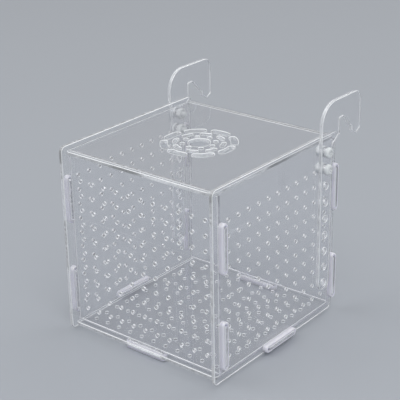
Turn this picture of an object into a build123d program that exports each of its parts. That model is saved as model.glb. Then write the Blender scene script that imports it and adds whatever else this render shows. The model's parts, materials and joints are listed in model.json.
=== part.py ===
"""Fish breeding box: a clear acrylic box that hangs inside an aquarium on two hooks.

Flat laser-cut sheets lock together with tenons that pass through slots. A soft ring is pressed
over each tenon where it comes out. The lid lies loose on the front and back panels, between the
side panels. Each hook is a strip that two plastic screws and nuts hold on a side panel, and its
row of holes sets the depth at which the box hangs.

X runs across the box, -Y is the front, +Y is towards the tank wall and +Z is up. The origin is
under the middle of the bounding box, on the surface that the box stands on. Sizes are in mm.
"""

import os

from build123d import *

# --- Box ---------------------------------------------------------------------------------
SHEET = 2.0  # thickness of the acrylic sheet that every flat piece is cut from
BOX_WIDTH = 95.0  # over the outer faces of the two side panels
SIDE_DEPTH = 100.0  # side panel, front edge to back edge
SIDE_HEIGHT = 100.0  # side panel, bottom edge to top edge
SIDE_CORNER_R = 3.0
FRONT_INSET = 4.8  # side panel's front edge to the front panel's outer face
BACK_INSET = 1.5  # side panel's back edge to the back panel's outer face
PLATE_LIFT = 2.0  # side panel's bottom edge to the underside of the bottom plate
PLATE_INSET = 1.8  # side panel's front edge to the front edge of the bottom plate
PLATE_CORNER_R = 2.5

# --- Lid ---------------------------------------------------------------------------------
LID_DROP = 2.0  # side panel's top edge to the lid's upper face
LID_FRONT_INSET = 1.8
LID_BACK_INSET = 1.7
LID_SIDE_GAP = 0.3  # on each side, so that the lid lifts out freely
LID_CORNER_R = 3.0
FEED_HOLE_R = 5.5  # feeding hole in the middle of the lid
VENT_SECTORS = 8  # the vent pattern round it repeats this many times
DOT_CIRCLE_R = 8.3
DOT_R = 1.1
DASH_CIRCLE_R = 12.3
DASH_WIDTH = 2.0
DASH_ANGLE = 18.0  # between the centres of a slot's rounded ends
ARC_CIRCLE_R = 17.5
ARC_WIDTH = 3.4
ARC_ANGLE = 25.0

# --- Water holes -------------------------------------------------------------------------
WATER_HOLE_R = 0.7
WATER_PITCH = 7.8
WATER_MARGIN = 5.0  # least distance from the outer holes to the panels across the row's ends
FIRST_ROW = 8.0  # bottom plate's upper face to the lowest row
TOP_MARGIN = 10.0  # least distance from the highest row to the lid

# --- Tenons and locking rings ------------------------------------------------------------
TENON_WIDTH = 21.6
TENON_OUT = 3.0  # how far a tenon stands out of the sheet that it passes through
LOW_TENON = 20.5  # side panel's bottom edge to the middle of the lower tenons
HIGH_TENON = 29.5  # side panel's top edge to the middle of the upper tenons
SLOT_GAP = 0.05  # laser-cut fit all round a tenon in its slot
RING_WALL = 1.0
RING_HEIGHT = 2.8
RING_ROUND = 0.4

# --- Hooks -------------------------------------------------------------------------------
HOOK_WIDTH = 10.0  # of the strip on the side panel
HOOK_INSET = 5.4  # side panel's back edge to the strip's back edge
HOOK_FOOT = 15.5  # side panel's bottom edge to the strip's rounded end
HOOK_RISE = 16.8  # side panel's top edge to the top of the hook
HOOK_REACH = 20.0  # side panel's back edge to the hook's outer edge
SHOULDER_R = 11.5
HOOK_CORNER_R = 5.5
WALL_OFFSET = 0.6  # side panel's back edge to the edge that bears on the tank wall
WALL_EDGE_DROP = 1.8  # side panel's top edge to the bottom of that edge
WALL_EDGE_SLOPE = 3.9  # further drop from there to the strip
THROAT_RISE = 6.5  # side panel's top edge to the top of the throat
THROAT_WIDTH = 3.8  # at its top
MOUTH_WIDTH = 9.4  # at the barb
BARB_WIDTH = 1.6
BARB_HEIGHT = 0.4
FINGER_DROP = 3.7  # side panel's top edge to the finger's inner corner
FINGER_SKEW = 2.3  # barb to the finger's inner corner, along Y
TIP_DROP = 6.1  # side panel's top edge to the finger's tip
TIP_INSET = 3.3  # hook's outer edge to the finger's tip
HEEL_DROP = 4.0  # side panel's top edge to the bottom of the hook's outer edge
SMALL_ROUND = 0.8  # rounding of the hook's small corners

# --- Screws and nuts ---------------------------------------------------------------------
SCREW_D = 3.0
SCREW_LENGTH = 8.0
SCREW_HOLE_R = 1.7
SCREW_PITCH = 9.0  # between the holes of the strip
SCREW_COUNT = 2  # screws to a hook
TOP_SCREW = 8.6  # side panel's top edge to the upper screw
STRIP_END = 3.5  # least distance from the strip's lower end to the middle of its lowest hole
HEAD_D = 5.6
HEAD_HEIGHT = 2.1
HEAD_ROUND = 1.2
RECESS_LENGTH = 3.0
RECESS_WIDTH = 0.8
RECESS_DEPTH = 1.1
TIP_CHAMFER = 0.4
NUT_FLATS = 5.5
NUT_HEIGHT = 2.4
NUT_CORNER_R = 3.05  # radius that the nut's six corners are turned to
NUT_CHAMFER = 0.4
THREAD_GAP = 0.05

# --- Where the pieces lie ----------------------------------------------------------------
sides = {"left": -1, "right": 1}
outer_x = BOX_WIDTH / 2
inner_x = outer_x - SHEET
side_front = -(SIDE_DEPTH + HOOK_REACH) / 2
side_back = side_front + SIDE_DEPTH
front_mid = side_front + FRONT_INSET + SHEET / 2
back_mid = side_back - BACK_INSET - SHEET / 2
plate_mid = (side_front + PLATE_INSET + side_back) / 2
plate_bottom = max(TENON_OUT, PLATE_LIFT)
plate_top = plate_bottom + SHEET
side_bottom = plate_bottom - PLATE_LIFT
side_top = side_bottom + SIDE_HEIGHT
lid_bottom = side_top - LID_DROP - SHEET
tenon_reach = outer_x + TENON_OUT
levels = {"upper": side_top - HIGH_TENON, "lower": side_bottom + LOW_TENON}
ends = {"front": front_mid, "back": back_mid}
hook_mid = side_back - HOOK_INSET - HOOK_WIDTH / 2
top_screw = side_top - TOP_SCREW
screw_heights = [top_screw - SCREW_PITCH * i for i in range(SCREW_COUNT)]


def row(middle, room):
    """Places of the water holes in a row about a middle, in the room between two panels."""
    count = int((room - 2 * WATER_MARGIN) / WATER_PITCH) + 1
    return [middle + WATER_PITCH * (i - (count - 1) / 2) for i in range(count)]


def column():
    """Heights of the water holes, counted up from the bottom plate."""
    first = plate_top + FIRST_ROW
    count = int((lid_bottom - TOP_MARGIN - first) / WATER_PITCH) + 1
    return [first + WATER_PITCH * i for i in range(count)]


holes_across = row(0, 2 * inner_x)
holes_deep = row(plate_mid, back_mid - front_mid - SHEET)
holes_up = column()

os.makedirs("parts", exist_ok=True)

# --- Side panels -------------------------------------------------------------------------
# A water hole is left out where a screw hole takes its place.
screw_places = [(hook_mid, z) for z in screw_heights]
side_holes = [
    (y, z)
    for y in holes_deep
    for z in holes_up
    if all(abs(y - at_y) + abs(z - at_z) > SCREW_D for at_y, at_z in screw_places)
]
for side, sign in sides.items():
    with BuildPart() as side_panel:
        with BuildSketch(Plane.YZ.offset(sign * inner_x)):
            with Locations(((side_front + side_back) / 2, (side_bottom + side_top) / 2)):
                RectangleRounded(SIDE_DEPTH, SIDE_HEIGHT, SIDE_CORNER_R)
            with Locations(*[(y, z) for y in ends.values() for z in levels.values()]):
                Rectangle(SHEET + 2 * SLOT_GAP, TENON_WIDTH + 2 * SLOT_GAP, mode=Mode.SUBTRACT)
            with Locations((plate_mid, plate_bottom + SHEET / 2)):
                Rectangle(TENON_WIDTH + 2 * SLOT_GAP, SHEET + 2 * SLOT_GAP, mode=Mode.SUBTRACT)
            with Locations(*screw_places):
                Circle(SCREW_HOLE_R, mode=Mode.SUBTRACT)
            with Locations(*side_holes):
                Circle(WATER_HOLE_R, mode=Mode.SUBTRACT)
        extrude(amount=sign * SHEET)
    side_panel.part.label = f"{side}_panel"
    export_step(side_panel.part, f"parts/{side}_panel.step")

# --- Front and back panels ---------------------------------------------------------------
# They stand on the bottom plate, and only the front one has water holes.
for end, mid in ends.items():
    with BuildPart() as end_panel:
        with BuildSketch(Plane.XZ.offset(-mid - SHEET / 2)):
            with Locations((0, (plate_top + lid_bottom) / 2)):
                Rectangle(2 * inner_x, lid_bottom - plate_top)
            with Locations(*[(0, z) for z in levels.values()]):
                Rectangle(2 * tenon_reach, TENON_WIDTH)
            with Locations((0, plate_top - (SHEET + TENON_OUT) / 2)):
                Rectangle(TENON_WIDTH, SHEET + TENON_OUT)
            if end == "front":
                with Locations(*[(x, z) for x in holes_across for z in holes_up]):
                    Circle(WATER_HOLE_R, mode=Mode.SUBTRACT)
        extrude(amount=SHEET)
    end_panel.part.label = f"{end}_panel"
    export_step(end_panel.part, f"parts/{end}_panel.step")

# --- Bottom plate ------------------------------------------------------------------------
with BuildPart() as bottom_plate:
    with BuildSketch(Plane.XY.offset(plate_bottom)):
        with Locations((0, plate_mid)):
            RectangleRounded(2 * inner_x, SIDE_DEPTH - PLATE_INSET, PLATE_CORNER_R)
            Rectangle(2 * tenon_reach, TENON_WIDTH)
        with Locations(*[(0, y) for y in ends.values()]):
            Rectangle(TENON_WIDTH + 2 * SLOT_GAP, SHEET + 2 * SLOT_GAP, mode=Mode.SUBTRACT)
        with Locations(*[(x, y) for x in holes_across for y in holes_deep]):
            Circle(WATER_HOLE_R, mode=Mode.SUBTRACT)
    extrude(amount=SHEET)
bottom_plate.part.label = "bottom_plate"
export_step(bottom_plate.part, "parts/bottom_plate.step")

# --- Lid ---------------------------------------------------------------------------------
lid_front = side_front + LID_FRONT_INSET
lid_back = side_back - LID_BACK_INSET
lid_mid = (lid_front + lid_back) / 2
dash = CenterArc((0, 0), DASH_CIRCLE_R, -DASH_ANGLE / 2, DASH_ANGLE)
arc = CenterArc((0, 0), ARC_CIRCLE_R, -ARC_ANGLE / 2, ARC_ANGLE)
with BuildPart() as lid:
    with BuildSketch(Plane.XY.offset(lid_bottom)):
        with Locations((0, lid_mid)):
            RectangleRounded(2 * (inner_x - LID_SIDE_GAP), lid_back - lid_front, LID_CORNER_R)
            Circle(FEED_HOLE_R, mode=Mode.SUBTRACT)
            with PolarLocations(DOT_CIRCLE_R, VENT_SECTORS):
                Circle(DOT_R, mode=Mode.SUBTRACT)
            with PolarLocations(0, VENT_SECTORS, start_angle=180 / VENT_SECTORS):
                SlotArc(dash, height=DASH_WIDTH, mode=Mode.SUBTRACT)
            with PolarLocations(0, VENT_SECTORS):
                SlotArc(arc, height=ARC_WIDTH, mode=Mode.SUBTRACT)
    extrude(amount=SHEET)
lid.part.label = "lid"
export_step(lid.part, "parts/lid.step")

# --- Locking rings -----------------------------------------------------------------------
# Each stands on the face that its tenon comes out of. Its hole has rounded ends, so a half
# circle stays open beyond each edge of the tenon.
ring_seats = {}
for side, sign in sides.items():
    ring_seats[f"ring_bottom_{side}"] = Plane(
        origin=(sign * outer_x, plate_mid, plate_bottom + SHEET / 2), x_dir=(0, 1, 0), z_dir=(sign, 0, 0)
    )
    for end, mid in ends.items():
        for level, z in levels.items():
            ring_seats[f"ring_{side}_{end}_{level}"] = Plane(
                origin=(sign * outer_x, mid, z), x_dir=(0, 0, 1), z_dir=(sign, 0, 0)
            )
for end, mid in ends.items():
    ring_seats[f"ring_bottom_{end}"] = Plane(
        origin=(0, mid, plate_bottom), x_dir=(1, 0, 0), z_dir=(0, 0, -1)
    )
ring_hole = TENON_WIDTH + SHEET
for name, seat in ring_seats.items():
    with BuildPart() as ring:
        with BuildSketch(seat):
            SlotOverall(ring_hole + 2 * RING_WALL, SHEET + 2 * RING_WALL)
            SlotOverall(ring_hole, SHEET, mode=Mode.SUBTRACT)
        extrude(amount=RING_HEIGHT)
        rim = ring.faces().sort_by(Axis(seat.origin, seat.z_dir))[-1].outer_wire()
        fillet(rim.edges(), RING_ROUND)
    ring.part.label = name
    export_step(ring.part, f"parts/{name}.step")

# --- Hooks -------------------------------------------------------------------------------
# The outline runs up the strip's front edge, over the shoulder, down the finger, round the
# throat and back down the strip. Each point has the radius that its corner is rounded to.
strip_front = hook_mid - HOOK_WIDTH / 2
strip_back = hook_mid + HOOK_WIDTH / 2
strip_end = side_bottom + HOOK_FOOT + HOOK_WIDTH / 2
hook_top = side_top + HOOK_RISE
hook_end = side_back + HOOK_REACH
wall_y = side_back + WALL_OFFSET
wall_edge = side_top - WALL_EDGE_DROP
throat_top = side_top + THROAT_RISE
barb_y = wall_y + MOUTH_WIDTH
hook_corners = [
    (strip_front, strip_end, 0),
    (strip_front, hook_top, SHOULDER_R),
    (hook_end, hook_top, HOOK_CORNER_R),
    (hook_end, side_top - HEEL_DROP, SMALL_ROUND),
    (hook_end - TIP_INSET, side_top - TIP_DROP, SMALL_ROUND),
    (barb_y + FINGER_SKEW, side_top - FINGER_DROP, SMALL_ROUND),
    (barb_y + BARB_WIDTH, side_top - BARB_HEIGHT, 0),
    (barb_y, side_top, 0),
    (wall_y + THROAT_WIDTH, throat_top, SMALL_ROUND),
    (wall_y, throat_top, SMALL_ROUND),
    (wall_y, wall_edge, SMALL_ROUND),
    (strip_back, wall_edge - WALL_EDGE_SLOPE, SMALL_ROUND),
    (strip_back, strip_end, 0),
]
lowest_hole = side_bottom + HOOK_FOOT + STRIP_END
hole_count = int((top_screw - lowest_hole) / SCREW_PITCH) + 1
strip_holes = [(hook_mid, top_screw - SCREW_PITCH * i) for i in range(hole_count)]
for side, sign in sides.items():
    with BuildPart() as hook:
        with BuildSketch(Plane.YZ.offset(sign * outer_x)):
            with BuildLine():
                FilletPolyline(
                    [(y, z) for y, z, _ in hook_corners],
                    radius=[radius for _, _, radius in hook_corners],
                    close=True,
                )
            make_face()
            with Locations((hook_mid, strip_end)):
                Circle(HOOK_WIDTH / 2)
            with Locations(*strip_holes):
                Circle(SCREW_HOLE_R, mode=Mode.SUBTRACT)
        extrude(amount=sign * SHEET)
    hook.part.label = f"{side}_hook"
    export_step(hook.part, f"parts/{side}_hook.step")

# --- Screws and nuts ---------------------------------------------------------------------
# The head bears on the hook outside the box, and the nut on the side panel inside it.
for side, sign in sides.items():
    for level, z in zip(levels, screw_heights):
        head_seat = Plane(
            origin=(sign * (outer_x + SHEET), hook_mid, z), x_dir=(0, 1, 0), z_dir=(sign, 0, 0)
        )
        nut_seat = Plane(
            origin=(sign * inner_x, hook_mid, z), x_dir=(0, 1, 0), z_dir=(-sign, 0, 0)
        )
        with BuildPart() as screw:
            with BuildSketch(head_seat):
                Circle(SCREW_D / 2)
            extrude(amount=-SCREW_LENGTH)
            tip = screw.faces().sort_by(Axis(head_seat.origin, head_seat.z_dir))[0]
            chamfer(tip.edges(), TIP_CHAMFER)
            with BuildSketch(head_seat):
                Circle(HEAD_D / 2)
            extrude(amount=HEAD_HEIGHT)
            crown = screw.faces().sort_by(Axis(head_seat.origin, head_seat.z_dir))[-1]
            fillet(crown.edges(), HEAD_ROUND)
            with BuildSketch(head_seat.offset(HEAD_HEIGHT)):
                Rectangle(RECESS_LENGTH, RECESS_WIDTH)
                Rectangle(RECESS_WIDTH, RECESS_LENGTH)
            extrude(amount=-RECESS_DEPTH, mode=Mode.SUBTRACT)
        screw.part.label = f"screw_{side}_{level}"
        export_step(screw.part, f"parts/screw_{side}_{level}.step")

        with BuildPart() as nut:
            with BuildSketch(nut_seat):
                Circle(NUT_CORNER_R)
            extrude(amount=NUT_HEIGHT)
            chamfer(nut.edges().filter_by(GeomType.CIRCLE), NUT_CHAMFER)
            with BuildSketch(nut_seat):
                RegularPolygon(NUT_FLATS / 2, 6, major_radius=False)
                Circle(SCREW_D / 2 + THREAD_GAP, mode=Mode.SUBTRACT)
            extrude(amount=NUT_HEIGHT, mode=Mode.INTERSECT)
        nut.part.label = f"nut_{side}_{level}"
        export_step(nut.part, f"parts/nut_{side}_{level}.step")
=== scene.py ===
"""Looks of a clear acrylic fish breeding box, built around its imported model.

Run as a script. It models the laser-cut sheets with their melted rims, the soft locking rings
and the clear plastic screws and nuts, sets a plain pale stage and places the camera.
"""

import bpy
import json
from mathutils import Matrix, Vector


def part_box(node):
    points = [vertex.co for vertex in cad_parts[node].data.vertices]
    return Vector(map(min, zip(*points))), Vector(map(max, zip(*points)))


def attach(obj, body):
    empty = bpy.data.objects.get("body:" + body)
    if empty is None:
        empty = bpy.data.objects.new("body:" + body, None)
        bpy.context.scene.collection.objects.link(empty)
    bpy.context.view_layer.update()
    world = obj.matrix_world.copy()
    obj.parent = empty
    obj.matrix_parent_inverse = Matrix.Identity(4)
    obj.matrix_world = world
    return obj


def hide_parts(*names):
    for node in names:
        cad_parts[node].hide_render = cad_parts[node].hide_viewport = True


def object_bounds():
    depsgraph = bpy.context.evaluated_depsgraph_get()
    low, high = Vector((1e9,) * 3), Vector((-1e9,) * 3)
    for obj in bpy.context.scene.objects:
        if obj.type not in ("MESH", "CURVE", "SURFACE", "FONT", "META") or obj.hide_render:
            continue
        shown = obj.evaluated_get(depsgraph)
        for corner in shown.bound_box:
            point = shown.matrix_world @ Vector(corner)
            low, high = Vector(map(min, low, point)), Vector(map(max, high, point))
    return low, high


bl_info = {
    "name": "Acrylic breeding box",
    "version": (1, 0, 0),
    "blender": (4, 5, 0),
    "location": "View3D > Sidebar > Breeding Box",
    "description": "Finishes the sheets, rings and screws of a hang-on breeding box",
    "category": "Add Mesh",
}

import json
import math

import bmesh
import bpy
from bpy.props import FloatProperty, FloatVectorProperty, IntProperty, PointerProperty
from mathutils import Matrix, Vector
from mathutils.kdtree import KDTree

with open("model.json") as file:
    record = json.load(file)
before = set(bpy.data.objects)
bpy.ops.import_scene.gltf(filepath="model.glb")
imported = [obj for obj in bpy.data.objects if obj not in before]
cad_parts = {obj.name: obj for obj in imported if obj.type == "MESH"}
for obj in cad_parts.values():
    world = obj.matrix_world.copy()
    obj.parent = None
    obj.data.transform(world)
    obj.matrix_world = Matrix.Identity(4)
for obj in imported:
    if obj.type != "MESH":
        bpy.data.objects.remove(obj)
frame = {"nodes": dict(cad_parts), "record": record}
CAD_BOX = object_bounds()
MM = 0.001
AIR = 0.02 * MM  # kept off every face that bears on another piece, as real faces never quite close
WELD = 0.001 * MM  # points nearer to each other than this are one

# --- Pieces, by the names of their nodes ---------------------------------------------------
NODE_SLOT = {part["node"]: part["material_slot"] for part in frame["record"]["subparts"]}
NODE_BODY = {
    node: body for body, nodes in frame["record"]["behaviour"]["bodies"].items() for node in nodes
}
SHEETS = sorted(node for node, slot in NODE_SLOT.items() if slot == "acrylic_sheet")
RINGS = sorted(node for node, slot in NODE_SLOT.items() if slot == "ring_silicone")
SCREWS = sorted(node for node in NODE_SLOT if node.startswith("screw_"))
NUTS = sorted(node for node in NODE_SLOT if node.startswith("nut_"))
TENONED = ("front_panel", "back_panel", "bottom_plate")
SIDE_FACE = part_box("right_panel")[0].x  # inner face of the side panel, which the tenons pass
PLATE_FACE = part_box("bottom_plate")[1].z  # upper face of the plate that the panels stand on

# --- Sheets --------------------------------------------------------------------------------
FACE, RIM, CUT, HOLE, JOINT = range(5)  # order of a sheet's materials
# How much of a face's normal lies along the sheet's axis, at least
BROAD = 0.99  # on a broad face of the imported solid
FLAT = 0.95  # on a broad face of the finished sheet
SLANTED = 0.3  # on its melted rims
ROUGH_SPREAD = 0.15  # share by which the beam's lines vary the frost of a cut edge
HAZE_SPREAD = 0.1  # share by which they vary its haze

# --- Rings, screws and nuts ----------------------------------------------------------------
RING_FOOT = 0.12 * MM  # rounding of a ring's seated rim
POINT = 0.4 * MM  # chamfer at the screw's tip
PLAIN_NECK = 0.3 * MM  # of shank without thread under the head
FILLET_WIDTH = 0.1 * MM  # of the slope from the neck to the head
FILLET_HEIGHT = 0.15 * MM
HEAD_EDGE = 0.15 * MM  # chamfer of the head's lower edge
RUN_IN_DEPTH = 0.1 * MM  # how far the thread's start lies below its root
STEPS_PER_TURN = 8  # rows of points along one turn of the thread
CROWN_STEPS = 6
RECESS_STEPS = 14  # rows from the flat's edge to the middle of the recess
RECESS_DRAFT = 0.25 * MM  # width of the slope from the head's top into the recess
RECESS_TAPER = 0.35  # share of its depth that the recess loses towards an arm's end
BORE_AIR = 0.05 * MM  # between the thread's crests and the nut
SINK = 0.25 * MM  # countersink of the nut's bore
WASHER_INSET = 0.1 * MM  # flats to the turned face of the nut
CORNER_SLOPE = math.tan(math.radians(30))  # of the nut's turned corners

# --- Light ---------------------------------------------------------------------------------
# What clear pieces let through of the light on its way to a matt surface
CLEAR_SHADE = (0.95, 0.95, 0.955, 1)  # poured faces
HAZED_SHADE = (0.7, 0.71, 0.72, 1)  # cut edges and moulded plastic
FROSTED_SHADE = (0.5, 0.51, 0.52, 1)  # melted rims
LAMPS = (  # name, place, width, and share of the key lamp's power
    ("key_softbox", (1.2, -0.9, 1.7), 1.4, 1.0),
    ("fill_softbox", (-1.0, -1.0, 1.75), 1.4, 0.8),
    ("rim_softbox", (0.3, 1.3, 1.7), 1.2, 0.55),
)
LAMP_AIM = Vector((0, 0, 0.05))
CEILING_RISE = 0.1  # share by which the ceiling is brighter, and the walls are darker, than set
TABLE_REACH = 3.0  # from the middle to each side
CLEAR_BOUNCES = 32  # light crosses two faces of every sheet in line, and is mirrored inside them
GLOSS_BOUNCES = 8
BRIGHTEST_BOUNCE = 3.0  # brighter stray samples are cut to this, so they leave no specks


# --- Small helpers -------------------------------------------------------------------------
def linear(code):
    """Turns an sRGB hex colour into the linear RGBA that shaders take."""
    channels = [int(code.lstrip("#")[i : i + 2], 16) / 255 for i in (0, 2, 4)]
    return [c / 12.92 if c <= 0.04045 else ((c + 0.055) / 1.055) ** 2.4 for c in channels] + [1.0]


def add(tree, kind, settings=None, links=None):
    """Adds a node, sets its properties and input values, and links its inputs."""
    node = tree.nodes.new(kind)
    for name, value in (settings or {}).items():
        if isinstance(name, str) and hasattr(node, name):
            setattr(node, name, value)
        else:
            node.inputs[name].default_value = value
    for name, socket in (links or {}).items():
        tree.links.new(socket, node.inputs[name])
    return node


def new_material(name):
    """An empty node material and its tree."""
    material = bpy.data.materials.new(name)
    material.use_nodes = True
    material.node_tree.nodes.clear()
    return material, material.node_tree


def place_piece(name, shape, node, materials, crease):
    """Makes the object of a modelled piece, which stands for a node and rides on its body.

    Edges sharper than the crease, in degrees, stay sharp.
    """
    bmesh.ops.recalc_face_normals(shape, faces=shape.faces)
    mesh = bpy.data.meshes.new(name)
    shape.to_mesh(mesh)
    shape.free()
    mesh.shade_smooth()
    mesh.set_sharp_from_angle(angle=math.radians(crease))
    for material in materials:
        mesh.materials.append(material)
    piece = bpy.data.objects.new(name, mesh)
    bpy.context.scene.collection.objects.link(piece)
    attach(piece, NODE_BODY[node])
    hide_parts(node)
    return piece


def skin(rows, closed):
    """A mesh over rows of points, each row a closed loop. Unless the rows close, ends are capped."""
    shape = bmesh.new()
    grid = [[shape.verts.new(point) for point in row] for row in rows]
    for near, far in zip(grid, grid[1:] + (grid[:1] if closed else [])):
        for i in range(len(near)):
            shape.faces.new((near[i - 1], near[i], far[i], far[i - 1]))
    if not closed:
        shape.faces.new(grid[0])
        shape.faces.new(grid[-1])
    return shape


def around(count):
    """Angles of a full turn in equal steps."""
    return [2 * math.pi * i / count for i in range(count)]


# --- Materials -----------------------------------------------------------------------------
def pass_light(tree, surface, shade):
    """Closes a clear material. Light on its way to a matt surface passes it, dimmed to a shade.

    So it casts a pale shadow, and what stands behind it is lit by the lamps, room and table.
    """
    passing = add(tree, "ShaderNodeBsdfTransparent", {"Color": shade})
    ray = add(tree, "ShaderNodeLightPath").outputs
    to_matt = add(
        tree,
        "ShaderNodeMath",
        {"operation": "MAXIMUM"},
        {0: ray["Is Shadow Ray"], 1: ray["Is Diffuse Ray"]},
    )
    either = add(
        tree, "ShaderNodeMixShader", links={0: to_matt.outputs[0], 1: surface, 2: passing.outputs[0]}
    )
    add(tree, "ShaderNodeOutputMaterial", links={"Surface": either.outputs[0]})


def cast_acrylic(look):
    """Cast PMMA sheet, poured between glass plates: water clear, mirror smooth, faintly wavy."""
    material, tree = new_material("cast_acrylic_as_poured")
    place = add(tree, "ShaderNodeTexCoord").outputs["Object"]
    wave = add(tree, "ShaderNodeTexNoise", {"Scale": 1 / look.wave_length}, {"Vector": place})
    bump = add(
        tree,
        "ShaderNodeBump",
        {"Strength": 1.0, "Distance": look.wave_height},
        {"Height": wave.outputs[0]},
    )
    plastic = add(
        tree,
        "ShaderNodeBsdfPrincipled",
        {"Base Color": look.face_colour, "IOR": 1.49, "Roughness": 0.0, "Transmission Weight": 1.0},
        {"Normal": bump.outputs[0]},
    )
    pass_light(tree, plastic.outputs[0], CLEAR_SHADE)
    return material


def laser_cut_acrylic(name, axis, look, colour, haze):
    """The cut edge of a sheet whose faces are square to the axis (0, 1 or 2 for X, Y or Z).

    The beam leaves it fire polished, but lined across the sheet from face to face. The lines
    scatter the light that the sheet carries inside, so an edge looks brighter than a face. Real
    lines are too fine to show in the render, so these are drawn coarser.
    """
    material, tree = new_material(f"{name}_{'xyz'[axis]}")
    place = add(tree, "ShaderNodeTexCoord").outputs["Object"]
    stretch = [1 / look.line_spacing] * 3
    stretch[axis] = 1 / look.line_length
    lines = add(tree, "ShaderNodeMapping", {"Scale": stretch}, {"Vector": place})
    grain = add(tree, "ShaderNodeTexNoise", {"Scale": 1.0, "Detail": 2.0}, {"Vector": lines.outputs[0]})
    rough = add(
        tree,
        "ShaderNodeMapRange",
        {
            "To Min": look.edge_roughness * (1 - ROUGH_SPREAD),
            "To Max": look.edge_roughness * (1 + ROUGH_SPREAD),
        },
        {"Value": grain.outputs[0]},
    )
    clear = add(
        tree,
        "ShaderNodeMapRange",
        {
            "From Min": 0.3,
            "From Max": 0.7,
            "To Min": 1 - haze * (1 + HAZE_SPREAD),
            "To Max": 1 - haze * (1 - HAZE_SPREAD),
        },
        {"Value": grain.outputs[0]},
    )
    bump = add(
        tree,
        "ShaderNodeBump",
        {"Strength": look.line_relief, "Distance": 0.05 * MM},
        {"Height": grain.outputs[0]},
    )
    plastic = add(
        tree,
        "ShaderNodeBsdfPrincipled",
        {"Base Color": colour, "IOR": 1.49},
        {
            "Roughness": rough.outputs[0],
            "Transmission Weight": clear.outputs[0],
            "Normal": bump.outputs[0],
        },
    )
    pass_light(tree, plastic.outputs[0], HAZED_SHADE)
    return material


def melted_rim_acrylic(look):
    """The rim where the beam enters and leaves: melted, rounded and frosted white by its fumes."""
    material, tree = new_material("melted_rim_acrylic")
    place = add(tree, "ShaderNodeTexCoord").outputs["Object"]
    frost = add(tree, "ShaderNodeTexNoise", {"Scale": 1 / look.line_length}, {"Vector": place})
    clear = add(
        tree,
        "ShaderNodeMapRange",
        {
            "From Min": 0.35,
            "From Max": 0.65,
            "To Min": 1 - look.rim_haze,
            "To Max": 1 - look.rim_haze * (1 - HAZE_SPREAD),
        },
        {"Value": frost.outputs[0]},
    )
    plastic = add(
        tree,
        "ShaderNodeBsdfPrincipled",
        {"Base Color": look.edge_colour, "IOR": 1.49, "Roughness": look.edge_roughness},
        {"Transmission Weight": clear.outputs[0]},
    )
    pass_light(tree, plastic.outputs[0], FROSTED_SHADE)
    return material


def moulded_silicone(look):
    """Moulded silicone, milky: light soaks in and leaves soft, so the rings look white.

    Marks of the mould, 0.6 mm apart, vary its gloss.
    """
    material, tree = new_material("moulded_silicone_milky")
    place = add(tree, "ShaderNodeTexCoord").outputs["Object"]
    marks = add(
        tree, "ShaderNodeTexNoise", {"Scale": 1 / (0.6 * MM), "Detail": 3.0}, {"Vector": place}
    )
    rough = add(
        tree, "ShaderNodeMapRange", {"To Min": 0.28, "To Max": 0.46}, {"Value": marks.outputs[0]}
    )
    bump = add(
        tree,
        "ShaderNodeBump",
        {"Strength": 0.15, "Distance": 0.05 * MM},
        {"Height": marks.outputs[0]},
    )
    rubber = add(
        tree,
        "ShaderNodeBsdfPrincipled",
        {
            "Base Color": look.colour,
            "IOR": 1.41,
            "Subsurface Weight": 1.0,
            "Subsurface Radius": (1.0, 1.0, 1.1),
            "Subsurface Scale": look.light_depth,
        },
        {"Roughness": rough.outputs[0], "Normal": bump.outputs[0]},
    )
    add(tree, "ShaderNodeOutputMaterial", links={"Surface": rubber.outputs[0]})
    return material


def moulded_polycarbonate(look):
    """Injection-moulded polycarbonate: whitish, as it scatters most of its light.

    Flow marks, 0.9 mm apart, vary its gloss.
    """
    material, tree = new_material("moulded_polycarbonate_clear")
    place = add(tree, "ShaderNodeTexCoord").outputs["Object"]
    flow = add(
        tree, "ShaderNodeTexNoise", {"Scale": 1 / (0.9 * MM), "Detail": 2.0}, {"Vector": place}
    )
    rough = add(
        tree, "ShaderNodeMapRange", {"To Min": 0.12, "To Max": 0.3}, {"Value": flow.outputs[0]}
    )
    plastic = add(
        tree,
        "ShaderNodeBsdfPrincipled",
        {"Base Color": look.colour, "IOR": 1.585, "Transmission Weight": 0.25},
        {"Roughness": rough.outputs[0]},
    )
    pass_light(tree, plastic.outputs[0], HAZED_SHADE)
    return material


def lacquered_board(look):
    """Lacquered board: plain, pale and faintly glossy, so the box mirrors in it near its foot.

    The gloss varies softly, in clouds of about 80 mm.
    """
    material, tree = new_material("lacquered_board_pale")
    place = add(tree, "ShaderNodeTexCoord").outputs["Object"]
    clouds = add(tree, "ShaderNodeTexNoise", {"Scale": 12.0, "Detail": 2.0}, {"Vector": place})
    rough = add(
        tree, "ShaderNodeMapRange", {"To Min": 0.18, "To Max": 0.24}, {"Value": clouds.outputs[0]}
    )
    board = add(
        tree,
        "ShaderNodeBsdfPrincipled",
        {"Base Color": look.floor_colour, "IOR": 1.45},
        {"Roughness": rough.outputs[0]},
    )
    add(tree, "ShaderNodeOutputMaterial", links={"Surface": board.outputs[0]})
    return material


# --- Settings that a user would change -----------------------------------------------------
def colour_setting(name, description, code):
    """A colour swatch whose default is an sRGB hex value."""
    return FloatVectorProperty(
        name=name,
        description=description,
        size=4,
        min=0,
        max=1,
        subtype="COLOR",
        default=linear(code),
    )


def length_setting(name, description, millimetres):
    """A length whose default is given in millimetres."""
    return FloatProperty(
        name=name, description=description, default=millimetres * MM, min=0, unit="LENGTH"
    )


def share_setting(name, description, share):
    """A share, from 0 to 1."""
    return FloatProperty(
        name=name, description=description, default=share, min=0, max=1, subtype="FACTOR"
    )


def angle_setting(name, description, degrees):
    """An angle whose default is given in degrees."""
    return FloatProperty(
        name=name, description=description, default=math.radians(degrees), subtype="ANGLE"
    )


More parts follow.
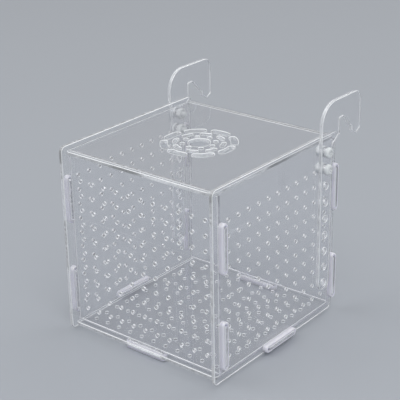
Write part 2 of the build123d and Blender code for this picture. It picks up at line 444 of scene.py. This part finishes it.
class SheetSettings(bpy.types.PropertyGroup):
    chamfer: length_setting("Rim", "Width of the melted rim along each cut", 0.28)
    face_colour: colour_setting("Face colour", "Tint of the clear sheet", "#FDFDFE")
    wave_length: length_setting("Wave length", "Of the faint waves of a poured face", 18)
    wave_height: length_setting("Wave height", "Of those waves", 0.02)
    edge_colour: colour_setting("Edge colour", "Colour of the cut edges", "#F6F8FA")
    edge_roughness: share_setting("Edge roughness", "Frost of the cut edges", 0.2)
    edge_haze: share_setting("Edge haze", "Share of light that the cut edges scatter", 0.35)
    hole_haze: share_setting("Hole haze", "Share that the walls of holes scatter", 0.3)
    largest_hole: length_setting("Largest hole", "Radius up to which a cut-out is a hole", 2)
    # Painted light: the edges in the joints are a hazier copy of the cut edges, so they show lighter
    # where the joint shades them. Their colour is a shade greyer.
    joint_colour: colour_setting("Joint colour", "Colour of the edges in the joints", "#E8E9F2")
    joint_painted_light_haze: share_setting("Joint haze", "Share that the edges in the joints scatter", 0.45)
    rim_haze: share_setting("Rim haze", "Share of light that the melted rims scatter", 0.95)
    line_spacing: length_setting("Line spacing", "Between the beam's lines", 0.45)
    line_length: length_setting("Line length", "Length of the beam's lines", 6)
    line_relief: share_setting("Line relief", "Strength of the beam's lines", 0.08)


class RingSettings(bpy.types.PropertyGroup):
    wall: length_setting("Wall", "Thickness of a ring's wall", 1.0)
    lip: length_setting("Lip", "Rounding of its free rim", 0.38)
    seam: length_setting("Seam", "Height of the mould line", 0.06)
    colour: colour_setting("Colour", "Colour of the silicone", "#E5E3F5")
    light_depth: length_setting("Light depth", "How far light soaks in", 2.5)


class FastenerSettings(bpy.types.PropertyGroup):
    shank_radius: length_setting("Shank radius", "Over the thread's crests", 1.5)
    pitch: length_setting("Pitch", "Of the thread", 0.5)
    thread_depth: length_setting("Thread depth", "Crest to root", 0.27)
    head_height: length_setting("Head height", "Of the screw", 2.1)
    head_round: length_setting("Head rounding", "Of the screw's crown", 1.2)
    recess_length: length_setting("Recess length", "Across the cross", 3.0)
    recess_width: length_setting("Recess width", "Of the cross's arms", 0.8)
    recess_depth: length_setting("Recess depth", "Of the cross", 1.1)
    sides: IntProperty(name="Sides", description="Facets round a screw or nut", default=48, min=24)
    colour: colour_setting("Colour", "Tint of the clear plastic", "#F4F7F8")


class StageSettings(bpy.types.PropertyGroup):
    floor_colour: colour_setting("Floor colour", "Colour of the table", "#A9ADB3")
    room_colour: colour_setting("Room colour", "Colour of the room's walls", "#D8DADD")
    room_strength: FloatProperty(
        name="Room light", description="Strength of the room's light", default=0.6
    )
    lamp_power: FloatProperty(
        name="Key lamp", description="Power of the key lamp", default=19.5, unit="POWER"
    )
    lens: FloatProperty(name="Lens", description="Focal length, in mm", default=104.43)
    azimuth: angle_setting("Azimuth", "Camera's angle round Z", 39.168)
    elevation: angle_setting("Elevation", "Camera's angle above the table", 23.153)
    roll: angle_setting("Roll", "Camera's tilt", -1.058)
    camera_place: FloatVectorProperty(
        name="Camera",
        description="Camera's place",
        default=(0.33885, -0.42610, 0.29740),
        subtype="TRANSLATION",
        unit="LENGTH",
    )


# --- Shapes --------------------------------------------------------------------------------
def outlines(node, axis):
    """Closed outlines of a sheet's broad face, its outer one and its holes, as points."""
    shape = bmesh.new()
    shape.from_mesh(frame["nodes"][node].data)
    bmesh.ops.remove_doubles(shape, verts=shape.verts, dist=WELD)
    rim = [
        edge
        for edge in shape.edges
        if sum(face.normal[axis] > BROAD for face in edge.link_faces) == 1
    ]
    beside = {}
    for edge in rim:
        for corner in edge.verts:
            beside.setdefault(corner, []).append(edge.other_vert(corner))
    loops = []
    while beside:
        corner = next(iter(beside))
        loop = []
        while corner in beside:
            loop.append(corner.co.copy())
            onward = [other for other in beside.pop(corner) if other in beside]
            corner = onward[0] if onward else None
        loops.append(loop)
    shape.free()
    return loops


def rimmed_slab(node, loops, axis, look):
    """A slab along outlines, with a slanted rim on each cut, clear of its neighbours by AIR.

    It is drawn flat and in millimetres, where Blender's curves are exact enough, and then stood
    in its place.
    """
    low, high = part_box(node)
    across, along = (axis + 1) % 3, (axis + 2) % 3
    curve = bpy.data.curves.new(f"{node}_outline", "CURVE")
    curve.dimensions = "2D"
    curve.fill_mode = "BOTH"
    for loop in loops:
        spline = curve.splines.new("POLY")
        spline.points.add(len(loop) - 1)
        for point, corner in zip(spline.points, loop):
            point.co = (corner[across] / MM, corner[along] / MM, 0, 1)
        spline.use_cyclic_u = True
    curve.extrude = ((high[axis] - low[axis]) / 2 - AIR - look.chamfer) / MM
    curve.bevel_depth = look.chamfer / MM
    curve.bevel_resolution = 0
    curve.offset = -(look.chamfer + AIR) / MM
    holder = bpy.data.objects.new(curve.name, curve)
    mesh = bpy.data.meshes.new_from_object(holder)
    shape = bmesh.new()
    shape.from_mesh(mesh)
    bpy.data.objects.remove(holder)
    bpy.data.curves.remove(curve)
    bpy.data.meshes.remove(mesh)
    bmesh.ops.remove_doubles(shape, verts=shape.verts, dist=WELD / MM)
    stand = Matrix([[0] * 4 for _ in range(4)])
    stand[across][0] = stand[along][1] = stand[axis][2] = MM
    stand[axis][3] = (low[axis] + high[axis]) / 2
    stand[3][3] = 1
    bmesh.ops.transform(shape, matrix=stand, verts=shape.verts)
    shape.normal_update()
    return shape


def small_holes(loops, axis, level, look):
    """A search tree of the middles of the small holes, and the radius of each outline."""
    holes = KDTree(len(loops))
    radii = []
    for index, loop in enumerate(loops):
        centre = sum(loop, Vector()) / len(loop)
        radii.append(max((point - centre).length for point in loop))
        if radii[index] < look.largest_hole:
            centre[axis] = level
            holes.insert(centre, index)
    holes.balance()
    return holes, radii


def in_joint(node, point):
    """Whether a point of a tenoned sheet's edge butts on the next sheet or goes through it."""
    if node not in TENONED:
        return False
    stands = node != "bottom_plate" and point.z < PLATE_FACE + 2 * AIR
    return stands or abs(point.x) > SIDE_FACE - 2 * AIR


def cut_sheet(node, axis, look, finish):
    """A sheet cut along its node's outlines. Finish holds its materials, from FACE to JOINT."""
    low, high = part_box(node)
    loops = outlines(node, axis)
    shape = rimmed_slab(node, loops, axis, look)
    holes, radii = small_holes(loops, axis, (low[axis] + high[axis]) / 2, look)
    for face in shape.faces:
        square = abs(face.normal[axis])
        middle = face.calc_center_median()
        near = holes.find_range(middle, look.largest_hole + look.chamfer)
        if square > FLAT:
            face.material_index = FACE
        elif square > SLANTED:
            face.material_index = RIM
        elif any(reach < radii[index] + look.chamfer for _, index, reach in near):
            face.material_index = HOLE
        # Edges in the joints take the hazier joint finish, which paints light into the joint's shade.
        elif in_joint(node, middle):
            face.material_index = JOINT
        else:
            face.material_index = CUT
    return place_piece(f"{node}_sheet", shape, node, finish, crease=30)


def ring_section(height, look):
    """Section of a ring's wall, as (outwards, up) points from the middle of its seated rim."""
    half_wall = look.wall / 2 - AIR
    corner_steps = 4
    section = []
    for radius, out, top, start in (
        (RING_FOOT, 1, 0, -90),
        (look.lip, 1, 1, 0),
        (look.lip, -1, 1, 90),
        (RING_FOOT, -1, 0, 180),
    ):
        centre_out = out * (half_wall - radius)
        centre_up = height - AIR - radius if top else AIR + radius
        for i in range(corner_steps + 1):
            angle = math.radians(start + 90 * i / corner_steps)
            section.append(
                (centre_out + radius * math.cos(angle), centre_up + radius * math.sin(angle))
            )
        if out > 0 and not top:
            mid = height / 2
            section.append((half_wall, mid - look.seam))
            section.append((half_wall + look.seam, mid))
            section.append((half_wall, mid + look.seam))
    return section


def locking_ring(node, look, material):
    """A soft ring with a rounded free rim, a faint mould line and rounded, open ends."""
    low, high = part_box(node)
    size = high - low
    middle = (low + high) / 2
    up, wide, long = sorted(range(3), key=lambda axis: size[axis])
    outward = 1 if middle[up] > (CAD_BOX[0][up] + CAD_BOX[1][up]) / 2 else -1
    seat = low[up] if outward > 0 else high[up]
    bend = (size[wide] - look.wall) / 2  # radius of the wall's middle line at the ring's ends
    straight = (size[long] - size[wide]) / 2
    steps_per_quarter = 12
    half_turn = [math.pi / 2 * i / steps_per_quarter for i in range(2 * steps_per_quarter + 1)]
    path = [(1, angle) for angle in half_turn] + [(-1, angle + math.pi) for angle in half_turn]
    section = ring_section(size[up], look)

    rows = []
    for end, angle in path:
        row = []
        for out, rise in section:
            reach = bend + out
            point = Vector((0, 0, 0))
            point[long] = middle[long] + end * straight + reach * math.sin(angle)
            point[wide] = middle[wide] + reach * math.cos(angle)
            point[up] = seat + outward * rise
            row.append(point)
        rows.append(row)
    return place_piece(f"{node}_rubber", skin(rows, closed=True), node, [material], crease=50)


def turned(node, rows, outward_low):
    """Places rows of (radius, angle, rise) points on the X axis through a node's middle."""
    low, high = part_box(node)
    middle = (low + high) / 2
    start, sign = (low.x, 1) if outward_low else (high.x, -1)
    return [
        [
            Vector(
                (
                    start + sign * rise,
                    middle.y + radius * math.cos(angle),
                    middle.z + radius * math.sin(angle),
                )
            )
            for radius, angle, rise in row
        ]
        for row in rows
    ]


def thread_rows(shank, neck, angles, look):
    """Rows of a shank's rolled thread, from its point to the neck under the head."""
    rows = [[(look.shank_radius - POINT, angle, 0.0) for angle in angles]]
    step = look.pitch / STEPS_PER_TURN
    for i in range(1, int((shank - PLAIN_NECK) / step)):
        rise = i * step
        run_in = min(1, rise / look.pitch)
        root = neck - RUN_IN_DEPTH * (1 - run_in)
        row = []
        for angle in angles:
            along = (rise / look.pitch - angle / (2 * math.pi)) % 1
            crest = 1 - abs(2 * along - 1)
            row.append((root + look.thread_depth * crest * run_in, angle, rise))
        rows.append(row)
    return rows


def head_rows(shank, length, neck, head_radius, angles, look):
    """Rows of a pan head, from the neck over its rounded crown to the edge of its flat."""
    under = shank + AIR
    profile = [
        (neck, shank - FILLET_HEIGHT),
        (neck + FILLET_WIDTH, under),
        (head_radius - HEAD_EDGE, under),
        (head_radius, under + HEAD_EDGE),
    ]
    for i in range(CROWN_STEPS + 1):
        angle = math.pi / 2 * i / CROWN_STEPS
        out = head_radius - look.head_round + look.head_round * math.cos(angle)
        profile.append((out, length - look.head_round + look.head_round * math.sin(angle)))
    return [[(radius, angle, rise) for angle in angles] for radius, rise in profile]


def recess_rows(length, flat, angles, look):
    """Rows from the edge of a head's flat to its middle, sunk into a tapered cross recess."""
    rows = []
    for i in range(1, RECESS_STEPS):
        radius = flat * (1 - i / RECESS_STEPS)
        row = []
        for angle in angles:
            sides = abs(radius * math.cos(angle)), abs(radius * math.sin(angle))
            reach, off = max(sides), min(sides)
            inside = min(look.recess_width / 2 - off, look.recess_length / 2 - reach)
            depth = max(0, min(1, 0.5 + inside / RECESS_DRAFT))
            taper = 1 - RECESS_TAPER * reach / (look.recess_length / 2)
            row.append((radius, angle, length - look.recess_depth * depth * taper))
        rows.append(row)
    return rows


def pan_head_screw(node, look, material):
    """A pan-head screw with a rolled M3 thread and a tapered cross recess."""
    low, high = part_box(node)
    length = high.x - low.x
    shank = length - look.head_height
    neck = look.shank_radius - look.thread_depth
    head_radius = (high.y - low.y) / 2
    angles = around(look.sides)
    rows = thread_rows(shank, neck, angles, look)
    rows += head_rows(shank, length, neck, head_radius, angles, look)
    rows += recess_rows(length, head_radius - look.head_round, angles, look)
    tip_is_low = node.startswith("screw_right")
    shape = skin(turned(node, rows, tip_is_low), closed=False)
    return place_piece(f"{node}_moulding", shape, node, [material], crease=40)


def hex_nut(node, look, material):
    """A hexagon nut with turned corners and a countersunk bore."""
    low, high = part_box(node)
    top = high.x - low.x - AIR
    half_flats = min(high.y - low.y, high.z - low.z) / 2
    corner = max(high.y - low.y, high.z - low.z) / 2
    first_corner = 0 if high.y - low.y > high.z - low.z else math.pi / 6
    bore = look.shank_radius + BORE_AIR
    washer = half_flats - WASHER_INSET

    def rim(angle):
        """Distance from the axis to the hexagon at an angle."""
        turn = (angle - first_corner) % (math.pi / 3) - math.pi / 6
        return min(half_flats / math.cos(turn), corner)

    rows = [[] for _ in range(8)]
    for angle in around(look.sides):
        turned_off = (rim(angle) - washer) * CORNER_SLOPE
        profile = (
            (bore, AIR + SINK),
            (bore, top - SINK),
            (bore + SINK, top),
            (washer, top),
            (rim(angle), top - turned_off),
            (rim(angle), AIR + turned_off),
            (washer, AIR),
            (bore + SINK, AIR),
        )
        for row, (radius, rise) in zip(rows, profile):
            row.append((radius, angle, rise))
    shape = skin(turned(node, rows, True), closed=True)
    return place_piece(f"{node}_moulding", shape, node, [material], crease=25)


# --- Stage ---------------------------------------------------------------------------------
def set_table(scene, look):
    """Lays a plain table top under the box."""
    mesh = bpy.data.meshes.new("table_top")
    corners = [(x * TABLE_REACH, y * TABLE_REACH, 0) for x, y in ((-1, -1), (1, -1), (1, 1), (-1, 1))]
    mesh.from_pydata(corners, [], [(0, 1, 2, 3)])
    mesh.materials.append(lacquered_board(look))
    table = bpy.data.objects.new("table_top", mesh)
    scene.collection.objects.link(table)


def hang_lamps(scene, look):
    """Hangs the softboxes high over the table, where no view from the side looks into one."""
    for name, place, width, share in LAMPS:
        lamp = bpy.data.lights.new(name, "AREA")
        lamp.size = width
        lamp.energy = look.lamp_power * share
        holder = bpy.data.objects.new(name, lamp)
        holder.location = place
        aim = LAMP_AIM - Vector(place)
        holder.rotation_euler = aim.to_track_quat("-Z", "Y").to_euler()
        scene.collection.objects.link(holder)


def paint_room(scene, look):
    """Surrounds the stage with a pale room whose ceiling is a little brighter than its walls.

    Cycles samples such a graded room as it does the lamps, which it doesn't do for one flat tone.
    """
    world = bpy.data.worlds.new("studio")
    scene.world = world
    world.use_nodes = True
    tree = world.node_tree
    tree.nodes.clear()
    way = add(tree, "ShaderNodeTexCoord").outputs["Generated"]
    rise = add(tree, "ShaderNodeSeparateXYZ", links={0: way}).outputs["Z"]
    strength = add(
        tree,
        "ShaderNodeMapRange",
        {
            "To Min": look.room_strength * (1 - CEILING_RISE),
            "To Max": look.room_strength * (1 + CEILING_RISE),
        },
        {"Value": rise},
    )
    room = add(
        tree, "ShaderNodeBackground", {"Color": look.room_colour}, {"Strength": strength.outputs[0]}
    )
    add(tree, "ShaderNodeOutputWorld", links={"Surface": room.outputs[0]})


def place_camera(scene, look):
    """Places the camera where the photograph was taken from."""
    lens = bpy.data.cameras.new("photo_camera")
    lens.lens = look.lens
    lens.sensor_width = 36.0
    lens.clip_start = 0.01
    camera = bpy.data.objects.new("photo_camera", lens)
    turn = (
        Matrix.Rotation(look.azimuth, 4, "Z")
        @ Matrix.Rotation(math.pi / 2 - look.elevation, 4, "X")
        @ Matrix.Rotation(look.roll, 4, "Z")
    )
    camera.matrix_world = Matrix.Translation(look.camera_place) @ turn
    scene.collection.objects.link(camera)
    scene.camera = camera


def set_light_paths(scene):
    """Lets light cross every sheet of the box.

    It already passes the clear pieces on its way to a matt surface, so caustics stay off.
    """
    scene.cycles.max_bounces = CLEAR_BOUNCES
    scene.cycles.transmission_bounces = CLEAR_BOUNCES
    scene.cycles.transparent_max_bounces = CLEAR_BOUNCES
    scene.cycles.glossy_bounces = GLOSS_BOUNCES
    scene.cycles.caustics_reflective = False
    scene.cycles.caustics_refractive = False
    scene.cycles.sample_clamp_indirect = BRIGHTEST_BOUNCE


# --- Operators -----------------------------------------------------------------------------
class BREEDBOX_OT_sheets(bpy.types.Operator):
    """Cuts the side, front and back panels, the bottom plate, the lid and the hooks"""

    bl_idname = "breedbox.sheets"
    bl_label = "Acrylic sheets"

    def execute(self, context):
        look = context.scene.breedbox_sheets
        face, rim = cast_acrylic(look), melted_rim_acrylic(look)
        cuts = [
            [laser_cut_acrylic(name, axis, look, colour, haze) for axis in range(3)]
            for name, colour, haze in (
                ("laser_cut_acrylic", look.edge_colour, look.edge_haze),
                ("laser_drilled_acrylic", look.edge_colour, look.hole_haze),
                # painted light: a hazier copy of the cut edge that lightens the shaded edges in the
                # joints
                ("joined_acrylic_painted_light", look.joint_colour, look.joint_painted_light_haze),
            )
        ]
        for node in SHEETS:
            low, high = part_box(node)
            size = high - low
            axis = min(range(3), key=lambda axis: size[axis])
            cut_sheet(node, axis, look, [face, rim] + [cut[axis] for cut in cuts])
        return {"FINISHED"}


class BREEDBOX_OT_rings(bpy.types.Operator):
    """Moulds the locking rings over the tenons"""

    bl_idname = "breedbox.rings"
    bl_label = "Locking rings"

    def execute(self, context):
        look = context.scene.breedbox_rings
        rubber = moulded_silicone(look)
        for node in RINGS:
            locking_ring(node, look, rubber)
        return {"FINISHED"}


class BREEDBOX_OT_screws(bpy.types.Operator):
    """Moulds the screws and nuts that hold the hooks"""

    bl_idname = "breedbox.screws"
    bl_label = "Screws and nuts"

    def execute(self, context):
        look = context.scene.breedbox_fasteners
        plastic = moulded_polycarbonate(look)
        for node in SCREWS:
            pan_head_screw(node, look, plastic)
        for node in NUTS:
            hex_nut(node, look, plastic)
        return {"FINISHED"}


class BREEDBOX_OT_stage(bpy.types.Operator):
    """Sets the table, the lamps, the background and the camera"""

    bl_idname = "breedbox.stage"
    bl_label = "Stage"

    def execute(self, context):
        look = context.scene.breedbox_stage
        set_table(context.scene, look)
        hang_lamps(context.scene, look)
        paint_room(context.scene, look)
        place_camera(context.scene, look)
        set_light_paths(context.scene)
        context.scene.view_settings.view_transform = "Standard"
        return {"FINISHED"}


class BREEDBOX_PT_panel(bpy.types.Panel):
    """Lists the box's pieces and the stage"""

    bl_label = "Breeding Box"
    bl_idname = "BREEDBOX_PT_panel"
    bl_space_type = "VIEW_3D"
    bl_region_type = "UI"
    bl_category = "Breeding Box"

    def draw(self, context):
        for operator in OPERATORS:
            self.layout.operator(operator.bl_idname)


SETTINGS = {
    "breedbox_sheets": SheetSettings,
    "breedbox_rings": RingSettings,
    "breedbox_fasteners": FastenerSettings,
    "breedbox_stage": StageSettings,
}
OPERATORS = (BREEDBOX_OT_sheets, BREEDBOX_OT_rings, BREEDBOX_OT_screws, BREEDBOX_OT_stage)


def register():
    """Adds the settings, operators and panel to Blender."""
    for name, group in SETTINGS.items():
        bpy.utils.register_class(group)
        setattr(bpy.types.Scene, name, PointerProperty(type=group))
    for operator in OPERATORS:
        bpy.utils.register_class(operator)
    bpy.utils.register_class(BREEDBOX_PT_panel)


def unregister():
    """Takes them out again."""
    bpy.utils.unregister_class(BREEDBOX_PT_panel)
    for operator in reversed(OPERATORS):
        bpy.utils.unregister_class(operator)
    for name, group in SETTINGS.items():
        delattr(bpy.types.Scene, name)
        bpy.utils.unregister_class(group)


def main():
    """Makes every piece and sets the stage."""
    register()
    bpy.ops.breedbox.sheets()
    bpy.ops.breedbox.rings()
    bpy.ops.breedbox.screws()
    bpy.ops.breedbox.stage()


if __name__ == "__main__":
    main()
